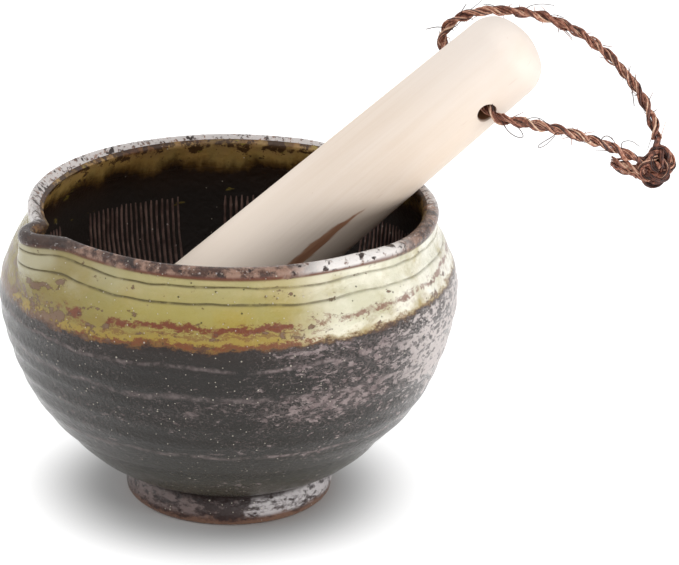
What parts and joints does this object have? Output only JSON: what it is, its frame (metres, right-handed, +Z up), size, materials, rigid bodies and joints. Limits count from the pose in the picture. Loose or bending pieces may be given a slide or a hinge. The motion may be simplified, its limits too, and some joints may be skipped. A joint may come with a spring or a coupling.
{
  "type": "grinding bowl with pestle",
  "caption": "Round glazed grinding bowl with a pinched pouring lip, and a tapered wooden pestle that leans in it, with a loop of twisted rope through its head.",
  "frame": {"origin": "on the bowl's axis, at the plane of its foot ring", "axes": "+Z up along the bowl's axis, +X towards the side of the rim that the pestle leans on, -Y towards the viewer of the picture"},
  "size_m": [0.1752, 0.12, 0.127],
  "materials": {
    "glazed_bowl": "gloss",
    "pestle_wood": "matte",
    "palm_rope": "rough"
  },
  "bodies": {
    "bowl": {"bowl": "glazed_bowl"},
    "pestle": {"pestle": "pestle_wood"},
    "rope_loop": {"hanging_rope": "palm_rope", "rope_knot": "palm_rope"}
  },
  "joints": [
    {"name": "pestle_orbit", "type": "hinge", "parent": "bowl", "child": "pestle", "pos_m": [0, 0, 0], "axis": [0, 0, 1], "continuous": true},
    {"name": "loop_swing", "type": "hinge", "parent": "pestle", "child": "rope_loop", "pos_m": [0.06129, 0.01538, 0.10883], "axis": [0.419, -0.8409, -0.3426], "range_deg": [-65, 150]}
  ]
}
